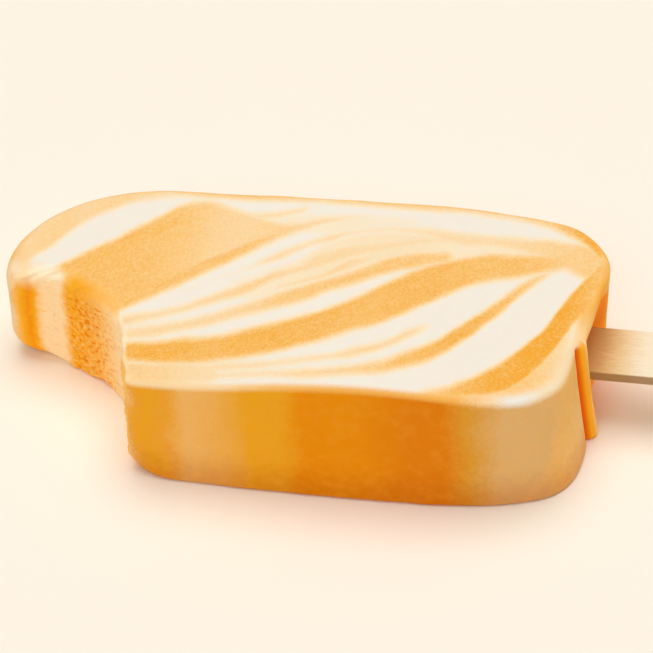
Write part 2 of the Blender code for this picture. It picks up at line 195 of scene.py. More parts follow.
# The streaks on the cut face, in millimetres of the bar's own plan: (x, lower y, upper y, strength)
STREAKS = {
    "far rim": (
        (-30, 20.0, 22, 0.4), (-20, 19.9, 24, 0.7), (-14, 20.1, 24, 0.85), (-6, 20.6, 24, 0.7),
        (8, 20.8, 24, 0.7), (16, 21.1, 24, 0.7), (24, 20.9, 24, 0.6), (32, 19.9, 23, 0.7),
        (37, 18.4, 22, 0.85), (40, 16.9, 20.5, 1.05), (42, 14.6, 18.0, 1.1), (44, 12.0, 15.0, 0.9),
    ),
    "far haze": (
        (-16, 13.0, 16.5, 0.2), (-6, 13.0, 17.5, 0.22), (4, 14.0, 18.5, 0.2), (14, 16.0, 19.0, 0.14),
    ),
    "left rim": (
        (-51, 0, 7.0, 0.4), (-46, 5.5, 13.2, 0.6), (-40, 12.8, 17.8, 0.54), (-36, 16.2, 19.6, 0.6),
        (-32, 18.3, 21, 0.5), (-26, 19.8, 22, 0.4),
    ),
    "broad": (
        (-46, -14, -0.5, 0.9), (-40, -12, 5.1, 0.9), (-32, -7.0, 12.2, 0.85), (-28, -3.7, 15.9, 0.82),
        (-24.5, -1.0, 18.4, 0.76), (-21.5, 1.2, 19.2, 0.68), (-18, 3.9, 18.0, 0.58),
        (-12, 8.5, 16.2, 0.56), (-8, 11.9, 15.5, 0.6), (0, 16.4, 17.7, 0.46), (6, 18.0, 18.6, 0.2),
    ),
    "broad's edge": (
        (-32, -6.6, -3.6, 0.82), (-28, -3.8, -0.8, 0.86), (-20, 2.2, 6.0, 0.82), (-14, 7.0, 10.4, 0.8),
        (-8, 12.0, 14.6, 0.6),
    ),
    "broad's far edge": (
        (-40, 3.0, 5.0, 0.9), (-36, 4.6, 8.4, 0.9), (-32, 7.6, 12.1, 0.88), (-26, 11.6, 15.4, 0.84),
        (-22, 15.0, 18.6, 0.66),
    ),
    "tail": (
        (-18, 14.5, 15.7, 0.3), (-12, 16.0, 17.2, 0.55), (-8, 17.1, 18.3, 0.5), (-5, 18.5, 19.8, 0.45),
    ),
    "upper": (
        (-22, -1.8, -0.8, 0.12), (-12, 4.1, 5.4, 0.22), (-8, 6.4, 8.6, 0.5), (-4, 9.5, 11.1, 0.45),
        (0, 11.7, 13.6, 0.5), (4, 13.9, 15.0, 0.42), (12, 15.3, 16.5, 0.46), (20, 13.6, 16.5, 0.46),
        (28, 13.6, 16.3, 0.5), (34, 12.0, 16.4, 0.58), (38, 10.0, 16.4, 0.64), (45, 7.0, 16.4, 0.7),
    ),
    "second": (
        (-31, -9.8, -7.4, 0.6), (-24, -7.1, -5.4, 0.5), (-16, -3.6, -1.2, 0.55), (-12, -1.9, 1.1, 0.62),
        (-8, 1.1, 3.6, 0.58), (-4, 3.4, 6.1, 0.48), (0, 5.8, 9.6, 0.5), (8, 10.0, 12.8, 0.46),
        (16, 13.1, 14.9, 0.46), (20, 13.6, 15.3, 0.4),
    ),
    "third": (
        (-30, -12.4, -9.8, 0.5), (-20, -9.9, -7.4, 0.55), (-12, -6.9, -4.1, 0.56),
        (-4, -3.4, 0.5, 0.72), (4, 1.4, 4.9, 0.76), (12, 6.0, 10.1, 0.76), (20, 9.0, 11.7, 0.68),
    ),
    "wisp": (
        (-8, -1.2, 0.2, 0.4), (-4, 1.0, 2.3, 0.5), (0, 2.8, 4.6, 0.56), (4, 5.4, 8.2, 0.52),
        (8, 8.0, 9.6, 0.4),
    ),
    "main": (
        (-31, -17.0, -12.9, 0.9), (-26, -17.0, -12.5, 1.05), (-20, -17.4, -11.8, 0.98),
        (-16, -17.0, -11.4, 0.95), (-8, -15.2, -8.7, 1.0), (0, -12.6, -5.1, 0.96), (8, -8.3, 0.8, 0.88),
        (12, -5.7, 4.4, 0.92), (16, -2.4, 7.8, 0.92), (20, 1.3, 10.0, 0.9), (24, 4.4, 11.9, 0.86),
        (32, 7.9, 12.9, 0.84), (40, 10.9, 14.0, 0.6),
    ),
    "near edge": (
        (-31, -23, -16.5, 0.7), (-24, -22.5, -17.0, 0.6), (-16, -21.4, -17.0, 0.46),
        (-12, -21, -19.0, 0.42),
    ),
    "small": (
        (-22, -18.4, -17.2, 0.4), (-12, -18.7, -16.9, 0.5), (-4, -17.5, -16.2, 0.46),
        (4, -15.7, -14.3, 0.48), (8, -14.6, -12.5, 0.56), (12, -12.6, -10.6, 0.54),
        (16, -9.3, -7.1, 0.46), (19, -6.6, -5.4, 0.2),
    ),
    "thin": (
        (-16, -21.0, -19.8, 0.5), (-8, -19.9, -18.6, 0.46), (0, -19.9, -18.1, 0.54),
        (8, -18.9, -16.7, 0.62), (12, -17.9, -15.2, 0.72), (16, -16.1, -12.6, 0.86),
        (20, -13.3, -9.4, 0.94), (24, -9.1, -4.3, 1.0), (28, -3.2, 0.8, 0.9), (32, 3.6, 6.6, 0.75),
        (36, 8.6, 10.0, 0.6),
    ),
    "stick side": (
        (19, -22.5, -20.6, 0.6), (24, -21.2, -18.2, 0.85), (28, -20.0, -15.0, 1.0),
        (32, -18.0, -10.5, 1.08), (36, -13.2, -4.0, 1.12), (38, -9.6, 1.2, 1.12), (40, -4.4, 6.0, 1.06),
        (42, -0.5, 10.2, 0.95), (43.5, 0.0, 13.0, 0.88), (46, 0.0, 15.0, 0.85),
    ),
    "stick side's pale part": (
        (18, -24, -21, 0.4), (24, -23, -18.6, 0.6), (30, -20.6, -16.0, 0.66), (34, -19.0, -12.0, 0.74),
        (36.5, -18.0, -7.0, 0.68), (38.4, -16.5, -2.0, 0.60), (40, -13.0, 2.0, 0.45),
        (41.5, -8.0, 3.0, 0.35),
    ),
    "haze": (
        (-16, -4.0, 1.0, 0.1), (-6, -2.0, 6.0, 0.25), (4, 2.0, 14.0, 0.3), (12, 6.0, 15.5, 0.33),
        (24, 9.0, 16.0, 0.24), (34, 10.0, 16.5, 0.4), (42, 10.0, 16.5, 0.55),
    ),
}

# How far a streak fades in over its edges and its ends, in millimetres, and how softly two streaks meet
STREAK_SOFTNESS = 2.8
STREAK_END_SOFTNESS = 3.0
STREAK_BLEND = 0.08

# The ranges of the streaks' numbers: along the bar, across it, and of their strength
PLAN_LENGTH = (-54, 50)
PLAN_WIDTH = 52
STRENGTH_RANGE = 4

# Colours, as seen on a screen
WHITE = (244, 237, 228)
CREAM = (251, 229, 196)
PALE_PEACH = (251, 216, 166)
PEACH = (251, 203, 134)
APRICOT = (249, 192, 110)
HONEY = (247, 183, 90)
TAN = (232, 185, 120)
OCHRE = (229, 160, 52)
GOLD = (246, 170, 56)
AMBER = (244, 170, 34)
ORANGE = (240, 147, 10)
BURNT_ORANGE = (232, 132, 14)
RED_ORANGE = (228, 92, 6)
EMBER = (255, 142, 30)
RUST = (208, 76, 4)
# The colour of the painted shade at the walls' feet
SHADE_SIENNA = (196, 92, 8)

# Where those colours are: on the cut face by how orange it is, on the walls and their lips by x
FACE_COLOURS = (
    (0.0, WHITE), (0.25, CREAM), (0.5, PALE_PEACH), (0.72, PEACH), (0.87, APRICOT), (1.0, HONEY),
    (1.15, GOLD),
)
NEAR_WALL_COLOURS = (
    (-28.5, PEACH), (-26.8, GOLD), (-24.5, AMBER), (-21, GOLD), (-17.5, APRICOT), (-13, HONEY),
    (-8, AMBER), (-3, AMBER), (1, ORANGE), (8, ORANGE), (18, BURNT_ORANGE), (23, BURNT_ORANGE),
    (27, OCHRE), (32, TAN), (38, TAN), (41.5, APRICOT), (43, PEACH),
)
NEAR_LIP_COLOURS = (
    (-28, PALE_PEACH), (-12, PALE_PEACH), (-4, APRICOT), (4, HONEY), (25, HONEY), (29.5, PALE_PEACH),
    (32.5, WHITE), (36, WHITE), (38.5, CREAM), (42, PALE_PEACH),
)
FAR_LIP_COLOURS = (
    (-52, APRICOT), (-44, HONEY), (-20, HONEY), (0, APRICOT), (26, HONEY), (38, GOLD), (46, HONEY),
)
FAR_WALL_COLOURS = (
    (-50, PALE_PEACH), (-40, HONEY), (-28, CREAM), (-16, AMBER), (0, APRICOT), (12, CREAM), (24, AMBER),
    (36, PALE_PEACH), (46, GOLD),
)

# On the bite and its lip they go by the turn round the scoop, in degrees, in the stick end's recess and on
# its rim by y, and on the step beside the recess by how far it stands out: the ice's own orange,
# deepened with painted shade into the crease
BITE_COLOURS = (
    (8, HONEY), (26, APRICOT), (34, PALE_PEACH), (48, PALE_PEACH), (55, PEACH), (61, HONEY), (68, GOLD),
    (76, AMBER), (78, APRICOT), (80, PALE_PEACH), (87, PALE_PEACH), (89, PEACH), (91, AMBER),
    (94, ORANGE), (97, AMBER), (99.5, HONEY), (101.5, PALE_PEACH), (108, PALE_PEACH),
)
BITE_LIP_COLOURS = (
    (18, PALE_PEACH), (30, CREAM), (42, CREAM), (45, PALE_PEACH), (50, APRICOT), (60, HONEY),
    (66, GOLD), (73, AMBER), (77, APRICOT), (81, CREAM), (90, CREAM), (94, PALE_PEACH), (99, CREAM),
    (104, PALE_PEACH),
)
RECESS_COLOURS = (
    (-4, PALE_PEACH), (-2, HONEY), (0, EMBER), (9.5, EMBER), (11.5, GOLD), (14, APRICOT), (20, GOLD),
)
RIM_COLOURS = (
    (-4, PALE_PEACH), (-1, PEACH), (3, HONEY), (7, GOLD), (10, HONEY), (13, APRICOT), (15, GOLD),
    (18, GOLD), (22, PALE_PEACH),
)
# The ice's own orange, darkest in the crease with painted shade
STEP_COLOURS_WITH_CREASE_SHADE = (
    (-1.2, RUST), (-0.3, RED_ORANGE), (0.2, BURNT_ORANGE), (0.7, AMBER), (1.1, GOLD), (1.5, PEACH),
)
# Painted shade in the bite's pits and painted light on its crumbs' tips
PIT_SHADE_COLOUR = BURNT_ORANGE
TIP_LIGHT_COLOUR = PEACH

# The noises in the looks: (size in millimetres, detail, roughness)
GRAIN = (0.45, 2.0, 0.6)
MOTTLE = (2.2, 2.0, 0.5)
BLOTCH = (1.8, 3.0, 0.6)
DRIFT = (7.0, 1.0, 0.5)
FUZZ = (1.1, 2.0, 0.5)
FLOW = (1.0, 3.0, 0.6)
FLOW_TURN = math.radians(32)
FLOW_STRETCH = (0.08, 0.8, 1.0)

# How far those noises shift the colours, in millimetres, and on the bite in degrees round its scoop
STREAK_DRIFT = 1.2
STREAK_FUZZ = 0.4
WALL_DRIFT = 3.5
WALL_FUZZ = 2.2
WALL_GRAIN = 3.0
END_FUZZ = 0.6
BITE_DRIFT = 4
BITE_FUZZ = 3

# How orange a streak is: everywhere, and by each noise
EVEN_SHARE = 0.80
MOTTLE_SHARE = 0.14
FLOW_SHARE = 0.24
GRAIN_SHARE = 0.7

# The walls' look, in millimetres: from the near to the far colours, and blotches of painted shade at the
# near foot
NEAR_TO_FAR_Y = (-2.0, 6.0)
FOOT_SHADE_Z = (9.0, 0.0)
FOOT_SHADE_BLOTCHES = 5
FOOT_SHADE_SHARE = 0.4
GOLD_BLOTCHES = (0.4, 0.8)
GOLD_SHARE = 0.25

# The stick end's look, in millimetres: it starts at the crease, its recess lies under a paler rim
END_LOOK_X = (39.5, 41.5)
END_LOOK_PAST_CREASE = (-0.7, -0.3)
RECESS_LOOK_Y = (-4.6, -3.6)
RIM_FOOT_Y = (-3.5, -1.5)
RIM_FOOT_Z = (20.8, 17.8)
RIM_LOOK_ABOVE_FOOT = (0.0, 1.8)
RIM_LIP_X = (40.0, 42.0)
RIM_LIP_Y = (-3.0, -1.0)

# The bite's look: by the share of bite, painted shade in its pits and painted light on its tips by the
# height of its crumbs, and where the pits and the horn come in by the turn round the scoop, in degrees, and
# by place, in millimetres
BITE_LOOK = (0.0, 0.6)
PIT_SHADE = (-0.05, -0.45)
PIT_SHADE_TURNS = (50.0, 64.0)
PIT_SHADE_SHARES = (0.15, 0.9)
TIP_LIGHT = (0.1, 0.5)
TIP_LIGHT_SHARE = 0.45
HORN_LOOK_TURNS = (80.0, 96.0)
HORN_LOOK_X = (-44.0, -47.0)
HORN_LOOK_Y = (5.0, 2.0)
HORN_TOP_TURNS = (86.0, 91.0)
HORN_TOP_Z = (16.5, 20.5)

# From a wall to the lip, and from the lip to the cut face, by the share of cut face
LIP_LOOK = (0.05, 0.5)
FACE_LOOK = (0.45, 1.0)
LIP_GRAIN = 0.12

# The ice's surface: the height of its grain in millimetres, its gloss, and how far light scatters in it
GRAIN_HEIGHT = 0.05
BITE_GRAIN_HEIGHT = 0.12
ICE_ROUGHNESS = 0.5
ICE_GRAIN_ROUGHNESS = 0.15
ICE_GLOSS = 0.02
SCATTER_SHARE = 0.15
SCATTER_BY_COLOUR = (1.0, 0.5, 0.2)
SCATTER_REACH = 1.0 * MM

# Painted light: the walls, the bite and the stick end glow by this share of their colour
WALL_PAINTED_GLOW = 0.10
BITE_PAINTED_GLOW = 0.22
END_PAINTED_GLOW = 0.20

# The wood: from wet and brown to pale, with fibres and bands along x, and its upright sides darkened with
# painted shade
WET_WOOD = (198, 152, 88)
BROWN_WOOD = (226, 198, 148)
PALE_WOOD = (243, 229, 200)
PALEST_WOOD = (249, 241, 220)
WOOD_COLOURS = ((0, WET_WOOD), (0.3, BROWN_WOOD), (0.6, PALE_WOOD), (1, PALEST_WOOD))
WOOD_SIDE_SHADE = (164, 116, 60)
WOOD_SIDE_SHADE_DEPTH = (0.02, 0.25)
WOOD_SIDE_SHADE_SHARE = 0.8
WOOD_STRETCH = (0.12, 1.0, 1.0)
FIBRE = (0.22, 3.0, 0.6)
BAND = (1.0, 2.0, 0.5)
WOOD_SHADE = 0.66
FIBRE_SHARE = 0.35
BAND_SHARE = 0.15
WET_SHARE = 0.7
WET_PAST_BAR_END = (9.0, -2.0)
FIBRE_HEIGHT = 0.05
WOOD_ROUGHNESS = 0.62
BAND_ROUGHNESS = 0.12


def rise(value, start, end):
    """0 before start, 1 after end, and a slope between them that eases in and out."""
    share = min(max((value - start) / (end - start), 0), 1)
    return share * share * (3 - 2 * share)


def bell(value, middle, reach):
    return math.exp(-(((value - middle) / reach) ** 2))


def between(first, second, share):
    return first + (second - first) * share


def off_oval(x, y, half_long, half_wide, power):
    """About how far the point (x, y) is outside a superellipse round the origin, negative inside it."""
    across, up = abs(x) / half_long, abs(y) / half_wide
    ratio = (across**power + up**power) ** (1 / power)
    steepness = math.hypot(across ** (power - 1) / half_long, up ** (power - 1) / half_wide)
    return (ratio - 1) * ratio ** (power - 1) / steepness


def off_slab(x, y):
    """How far (x, y) is outside the bar's outline before the bite."""
    turn = math.atan2(y / HALF_WIDTH, x / (STICK_END if x > 0 else ROUND_END))
    stick_side = 0.5 + 0.5 * math.cos(turn)
    far_side = 0.5 + 0.5 * math.sin(turn)
    square = between(NEAR_CORNER_POWER, FAR_CORNER_POWER, far_side)
    power = between(ROUND_END_POWER, square, stick_side)
    waves = sum(out * bell(x, middle, reach) for out, middle, reach in FAR_SIDE_WAVES)
    slab = off_oval(x, y, STICK_END if x > 0 else ROUND_END, HALF_WIDTH, power)
    return slab - waves * rise(y, 0, HALF_WIDTH)


def off_bite(x, y):
    """How far (x, y) is outside the bite."""
    across, up = x - BITE_X, y - BITE_Y
    scallop = SCALLOP * (abs(math.sin(SCALLOPS_PER_TURN / 2 * math.atan2(up, across) + math.pi / 2)) - 0.5)
    return off_oval(across, up, BITE_LONG, BITE_WIDE, BITE_POWER) - scallop


def blunting(y):
    """How far the corner between the outline and the bite is blunted, at the horn and at the near corner."""
    return between(CORNER_BLUNTING, HORN_BLUNTING, rise(y, *HORN_ALONG_Y))


def off_plan(x, y):
    """How far (x, y) is outside the bitten bar's plan."""
    slab, bite, blunt = off_slab(x, y), -off_bite(x, y), blunting(y)
    overlap = max(blunt - abs(slab - bite), 0) / blunt
    return max(slab, bite) + overlap * overlap * blunt / 4


def bite_share(x, y):
    """1 on the bite's wall, 0 on the bar's own walls and on the blunted corners between them."""
    blunt = blunting(y)
    return rise(-off_bite(x, y) - off_slab(x, y), BITE_STARTS * blunt, BITE_IS_WHOLE * blunt)


def edge_of_plan(turn, inset=0.0):
    """Where the ray at this turn from the heart of the bar leaves its plan, drawn in by inset."""
    ray = Vector((math.cos(turn), math.sin(turn)))
    low, high = SHORTEST_RAY, LONGEST_RAY
    for _ in range(HALVINGS):
        middle = (low + high) / 2
        if off_plan(*(HEART + ray * middle)) < -inset:
            low = middle
        else:
            high = middle
    return HEART + ray * low


def end_profile(y, z):
    """How far the stick end stands out past the plain outline at height z: less sharply at the upper rim."""
    step = RIB_STEP * rise(y, CREASE_Y - CREASE_WIDTH / 2, CREASE_Y + CREASE_WIDTH / 2)
    crease = CREASE_DEPTH * bell(y, CREASE_Y - CREASE_WIDTH / 2, CREASE_WIDTH)
    rib = RIB_SWELL * bell(y, CREASE_Y + RIB_HALF_WIDTH, RIB_HALF_WIDTH)
    shoulder = (SHOULDER - RIB_STEP) * rise(y, *SHOULDER_STARTS_ALONG_Y)
    rim_rib = RIM_RIB * bell(y, RIM_RIB_Y, RIM_RIB_REACH)
    rim_shoulder = SHOULDER * rise(y, *RIM_SHOULDER_STARTS_ALONG_Y)
    profile = between(step - crease + rib + shoulder, rim_rib + rim_shoulder, rise(z, *RIM_ALONG_Z))
    return profile * rise(y, *SHOULDER_ENDS_ALONG_Y)


def end_wall(x):
    """1 on the stick end's wall, fading to 0 round its corners."""
    return rise(x, *END_WALL_ALONG_X)


def spacing(point):
    """How far apart the points round the plan are here."""
    crease = bell(point.y, CREASE_Y, CREASE_REACH) * end_wall(point.x)
    at_bite = between(PLAIN_SPACING, BITE_SPACING, bite_share(*point))
    return min(at_bite, between(PLAIN_SPACING, CREASE_SPACING, crease))


def plan_points():
    """(turn, way out) round the plan, close together on the bite and at the crease."""
    plain = [edge_of_plan(math.tau * index / RAYS) for index in range(RAYS)]
    ways_out = []
    for index in range(RAYS):
        along = plain[(index + 1) % RAYS] - plain[index - 1]
        ways_out.append(Vector((along.y, -along.x)).normalized())
    weights = [(plain[index] - plain[index - 1]).length / spacing(plain[index]) for index in range(RAYS)]
    count = round(sum(weights))
    step = sum(weights) / count
    picked, passed = [], 0
    for index in range(RAYS):
        passed += weights[index]
        if passed >= step * (len(picked) + 0.5):
            picked.append((math.tau * index / RAYS, ways_out[index]))
    return picked


def top_height(x, y):
    """The height of the upper cut face."""
    nearness = rise(-y, -HALF_WIDTH, HALF_WIDTH)
    swell = SWELL * bell(x, SWELL_X, SWELL_REACH) * nearness
    drop = between(*BITE_SIDE_DROP, nearness) * rise(x, *DROP_ALONG_X)
    return THICKNESS + swell - drop


def top_edge(x, y):
    """(in plan, in height) of the upper edge's rounding."""
    on_bite = bite_share(x, y)
    at_corner = rise(x, *NEAR_CORNER_ALONG_X) * rise(y, *NEAR_CORNER_ALONG_Y)
    at_round_end = rise(x, *ROUND_TOP_ALONG_X)
    beside = rise(y, *SHARP_RIM_ALONG_Y)
    bitten = [between(wide, sharp, beside) for wide, sharp in zip(TOP_EDGE_AT_BITE, TOP_EDGE_BESIDE_BITE)]
    edges = zip(TOP_EDGE, TOP_EDGE_AT_NEAR_CORNER, TOP_EDGE_AT_ROUND_END, bitten)
    return [
        between(between(between(plain, corner, at_corner), end, at_round_end), at_bite, on_bite)
        for plain, corner, end, at_bite in edges
    ]


def bottom_edge(x, y):
    """(in plan, in height) of the lower edge's rounding."""
    at_round_end = rise(x, *ROUND_BOTTOM_ALONG_X)
    at_shoulder = end_wall(x) * rise(y, *SHOULDER_ALONG_Y)
    beside_bite = bell(x, BITE_X + BITE_LONG, BESIDE_BITE_REACH) * rise(y, *BESIDE_BITE_ALONG_Y)
    rounded = (BOTTOM_EDGE_AT_ROUND_END, BOTTOM_EDGE_AT_FAR_SHOULDER, BOTTOM_EDGE_BESIDE_BITE)
    edges = zip(BOTTOM_EDGE, *rounded)
    return [
        between(between(between(plain, end, at_round_end), shoulder, at_shoulder), beside, beside_bite)
        for plain, end, shoulder, beside in edges
    ]


def settle(x, y, z):
    """How far a wall stands out at height z: the full settling lies between its foot and its top."""
    at_stick = between(SETTLE_AT_STICK, SETTLE_AT_FAR_SHOULDER, rise(y, *SHOULDER_ALONG_Y))
    near_side = SETTLE_NEAR_SIDE * rise(y, *NEAR_SIDE_ALONG_Y)
    return between(near_side, at_stick, end_wall(x)) * (0.5 - z / THICKNESS)


def recess(y, z):
    """How far the end wall is drawn in round the stick."""
    beside_stick = rise(y, *RECESS_STARTS_ALONG_Y) * rise(y, *RECESS_ENDS_ALONG_Y)
    return RECESS_DEPTH * beside_stick * bell(z, STICK_Z, RECESS_HALF_HEIGHT)


def relief(place, height, size):
    """Rough ground of this height and size, at this place."""
    return height * noise.noise(place / size)


def crumb(place):
    """How high the bite's crumbs are here, from -1 to 1: lower on the horn's side and under the rim."""
    turn = math.atan2(place.y - BITE_Y, place.x - BITE_X)
    rough = between(SMOOTH_SHARE, 1, rise(turn, *CRUMBS_BETWEEN_TURNS) * rise(place.z, *CRUMBS_BELOW))
    return rough * noise.fractal(place / CRUMBS[1], 1.0, 2.0, CRUMB_LAYERS)


def wall_relief(place, on_bite):
    """How far a wall's own roughness stands out: crags and crumbs on the bite, soft lumps elsewhere."""
    bitten = relief(place, *CRAGS) + relief(place, *WAVES) + CRUMBS[0] * crumb(place)
    return between(relief(place, *WALL_LUMPS) - WALL_LUMPS[0] / 2, bitten, on_bite)


def wall_column(turn, way_out):
    """(place, share of the cut face, crumb) up the wall where a ray leaves the plan, edges included."""
    x, y = plain = edge_of_plan(turn)
    on_bite = bite_share(x, y)
    low_in, low_up = bottom_edge(x, y)
    high_in, high_down = top_edge(x, y)
    top = top_height(x, y)

    def wall_point(inset, z, tilt):
        """The point at height z on the wall, drawn in by inset, where the wall leans back by tilt."""
        drawn_in = edge_of_plan(turn, inset) if inset else plain
        rough = wall_relief(Vector((x, y, z)), on_bite)
        out = way_out * (settle(x, y, z) + rough * math.cos(tilt))
        along = end_wall(x) * (end_profile(y, z) - recess(y, z))
        lifted = rough * math.sin(tilt) * math.cos(tilt)
        return (drawn_in + out + Vector((along, 0))).to_3d() + Vector((0, 0, z + lifted))

    def crumb_at(z):
        return crumb(Vector((x, y, z))) * on_bite

    column = []
    quarter = [math.pi / 2 * step / EDGE_STEPS for step in range(EDGE_STEPS + 1)]
    for angle in quarter:
        inset, z = low_in * (1 - math.sin(angle)), low_up * (1 - math.cos(angle))
        column.append((wall_point(inset, z, 0), 0, crumb_at(z)))
    for step in range(1, WALL_STEPS):
        z = between(low_up, top - high_down, step / WALL_STEPS)
        column.append((wall_point(0, z, 0), 0, crumb_at(z)))
    for angle in quarter:
        inset, z = high_in * (1 - math.cos(angle)), top - high_down * (1 - math.sin(angle))
        column.append((wall_point(inset, z, angle), angle / (math.pi / 2), crumb_at(z) * math.cos(angle)))
    return column


def cut_face_height(x, y):
    return top_height(x, y) + relief(Vector((x, y, 0)), *FACE_LUMPS)


def face_ring(rim, share, height):
    """The rim drawn towards the bar's heart by share, each point at the height that height(x, y) gives."""
    ring = []
    for place in rim:
        x, y = place.xy.lerp(HEART, share)
        eased = between(place.z, height(x, y), min(share / FACE_RIM_SHARE, 1))
        ring.append(Vector((x, y, eased)))
    return ring


def add_object(name, bm, material):
    mesh = bpy.data.meshes.new(name)
    bm.to_mesh(mesh)
    bm.free()
    mesh.materials.append(material)
    mesh.shade_smooth()
    obj = bpy.data.objects.new(name, mesh)
    bpy.context.scene.collection.objects.link(obj)
    return obj


def ring_edges(verts):
    """The edges that join each vertex of a ring to the next."""
    edges = []
    for vert, other in zip(verts, verts[1:] + verts[:1]):
        edges.append(next(edge for edge in vert.link_edges if edge.other_vert(vert) == other))
    return edges


def lofted_bar(shift):
    """A bmesh of the bar. Its layers hold how much of a point is cut face and bitten wall, and its crumb."""
    plan = plan_points()
    columns = [wall_column(turn, way_out) for turn, way_out in plan]
    bites = [bite_share(*edge_of_plan(turn)) for turn, _ in plan]
    walls = [list(ring) for ring in zip(*columns)]
    foot = [place for place, _, _ in walls[0]]
    under = [[(place, 0, 0) for place in face_ring(foot, share, lambda x, y: 0)]
             for share in reversed(UNDERSIDE_SHARES)]
    rim = [place for place, _, _ in walls[-1]]
    shares = [1 - (1 - step / FACE_STEPS) ** FACE_CROWDING for step in range(1, FACE_STEPS)]
    upper = [[(place, 1, 0) for place in face_ring(rim, share, cut_face_height)] for share in shares]
    rings = under + walls + upper

    bm = bmesh.new()
    face_layer = bm.verts.layers.float.new("face")
    bite_layer = bm.verts.layers.float.new("bite")
    crumb_layer = bm.verts.layers.float.new("crumb")
    first = bmesh.ops.create_circle(bm, segments=len(plan), radius=1, cap_ends=True)["verts"]
    bm.verts.ensure_lookup_table()
    for vert, (place, _, _) in zip(first, rings[0]):
        vert.co = place + shift
    previous = first
    for ring in rings[1:]:
        grown = bmesh.ops.extrude_edge_only(bm, edges=ring_edges(previous))["geom"]
        new = {item for item in grown if isinstance(item, bmesh.types.BMVert)}
        following = []
        for vert in previous:
            others = [edge.other_vert(vert) for edge in vert.link_edges]
            following.append(next(other for other in others if other in new))
        for vert, (place, face, crumbs), bite in zip(following, ring, bites):
            vert.co = place + shift
            vert[face_layer] = face
            vert[bite_layer] = bite
            vert[crumb_layer] = crumbs
        previous = following
    bmesh.ops.edgeloop_fill(bm, edges=ring_edges(previous))
    upper_faces = [face for face in bm.faces if face.calc_center_median().z > THICKNESS / 2]
    bmesh.ops.poke(bm, faces=[max(upper_faces, key=lambda face: len(face.verts))])
    bmesh.ops.recalc_face_normals(bm, faces=bm.faces)
    return bm


class Channel:
    """A socket that carries a number, so that shader maths reads as plain sums."""

    def __init__(self, paint, socket):
        self.paint = paint
        self.socket = socket

    def maths(self, operation, *others):
        return self.paint.node("ShaderNodeMath", {"operation": operation}, self, *others)

    def __add__(self, other):
        return self.maths("ADD", other)

    __radd__ = __add__

    def __sub__(self, other):
        return self.maths("SUBTRACT", other)

    def __rsub__(self, other):
        return self.paint.node("ShaderNodeMath", {"operation": "SUBTRACT"}, other, self)

    def __mul__(self, other):
        return self.maths("MULTIPLY", other)

    __rmul__ = __mul__

    def __truediv__(self, other):
        return self.maths("DIVIDE", other)

    def least(self, other):
        return self.maths("MINIMUM", other)

    def most(self, other, ease=0.0):
        return self.maths("SMOOTH_MAX", other, ease) if ease else self.maths("MAXIMUM", other)


def linear(colour):
    """A colour as seen on a screen, 0 to 255, as the shader takes it."""
    seen = [part / 255 for part in colour]
    return [part / 12.92 if part <= 0.04045 else ((part + 0.055) / 1.055) ** 2.4 for part in seen]


def grey(share):
    return (share, share, share, 1)


def pick_socket(sockets, key):
    """The one of a node's sockets that has this place, name or identifier."""
    if isinstance(key, int):
        return sockets[key]
    return next(each for each in sockets if key in (each.name, each.identifier))


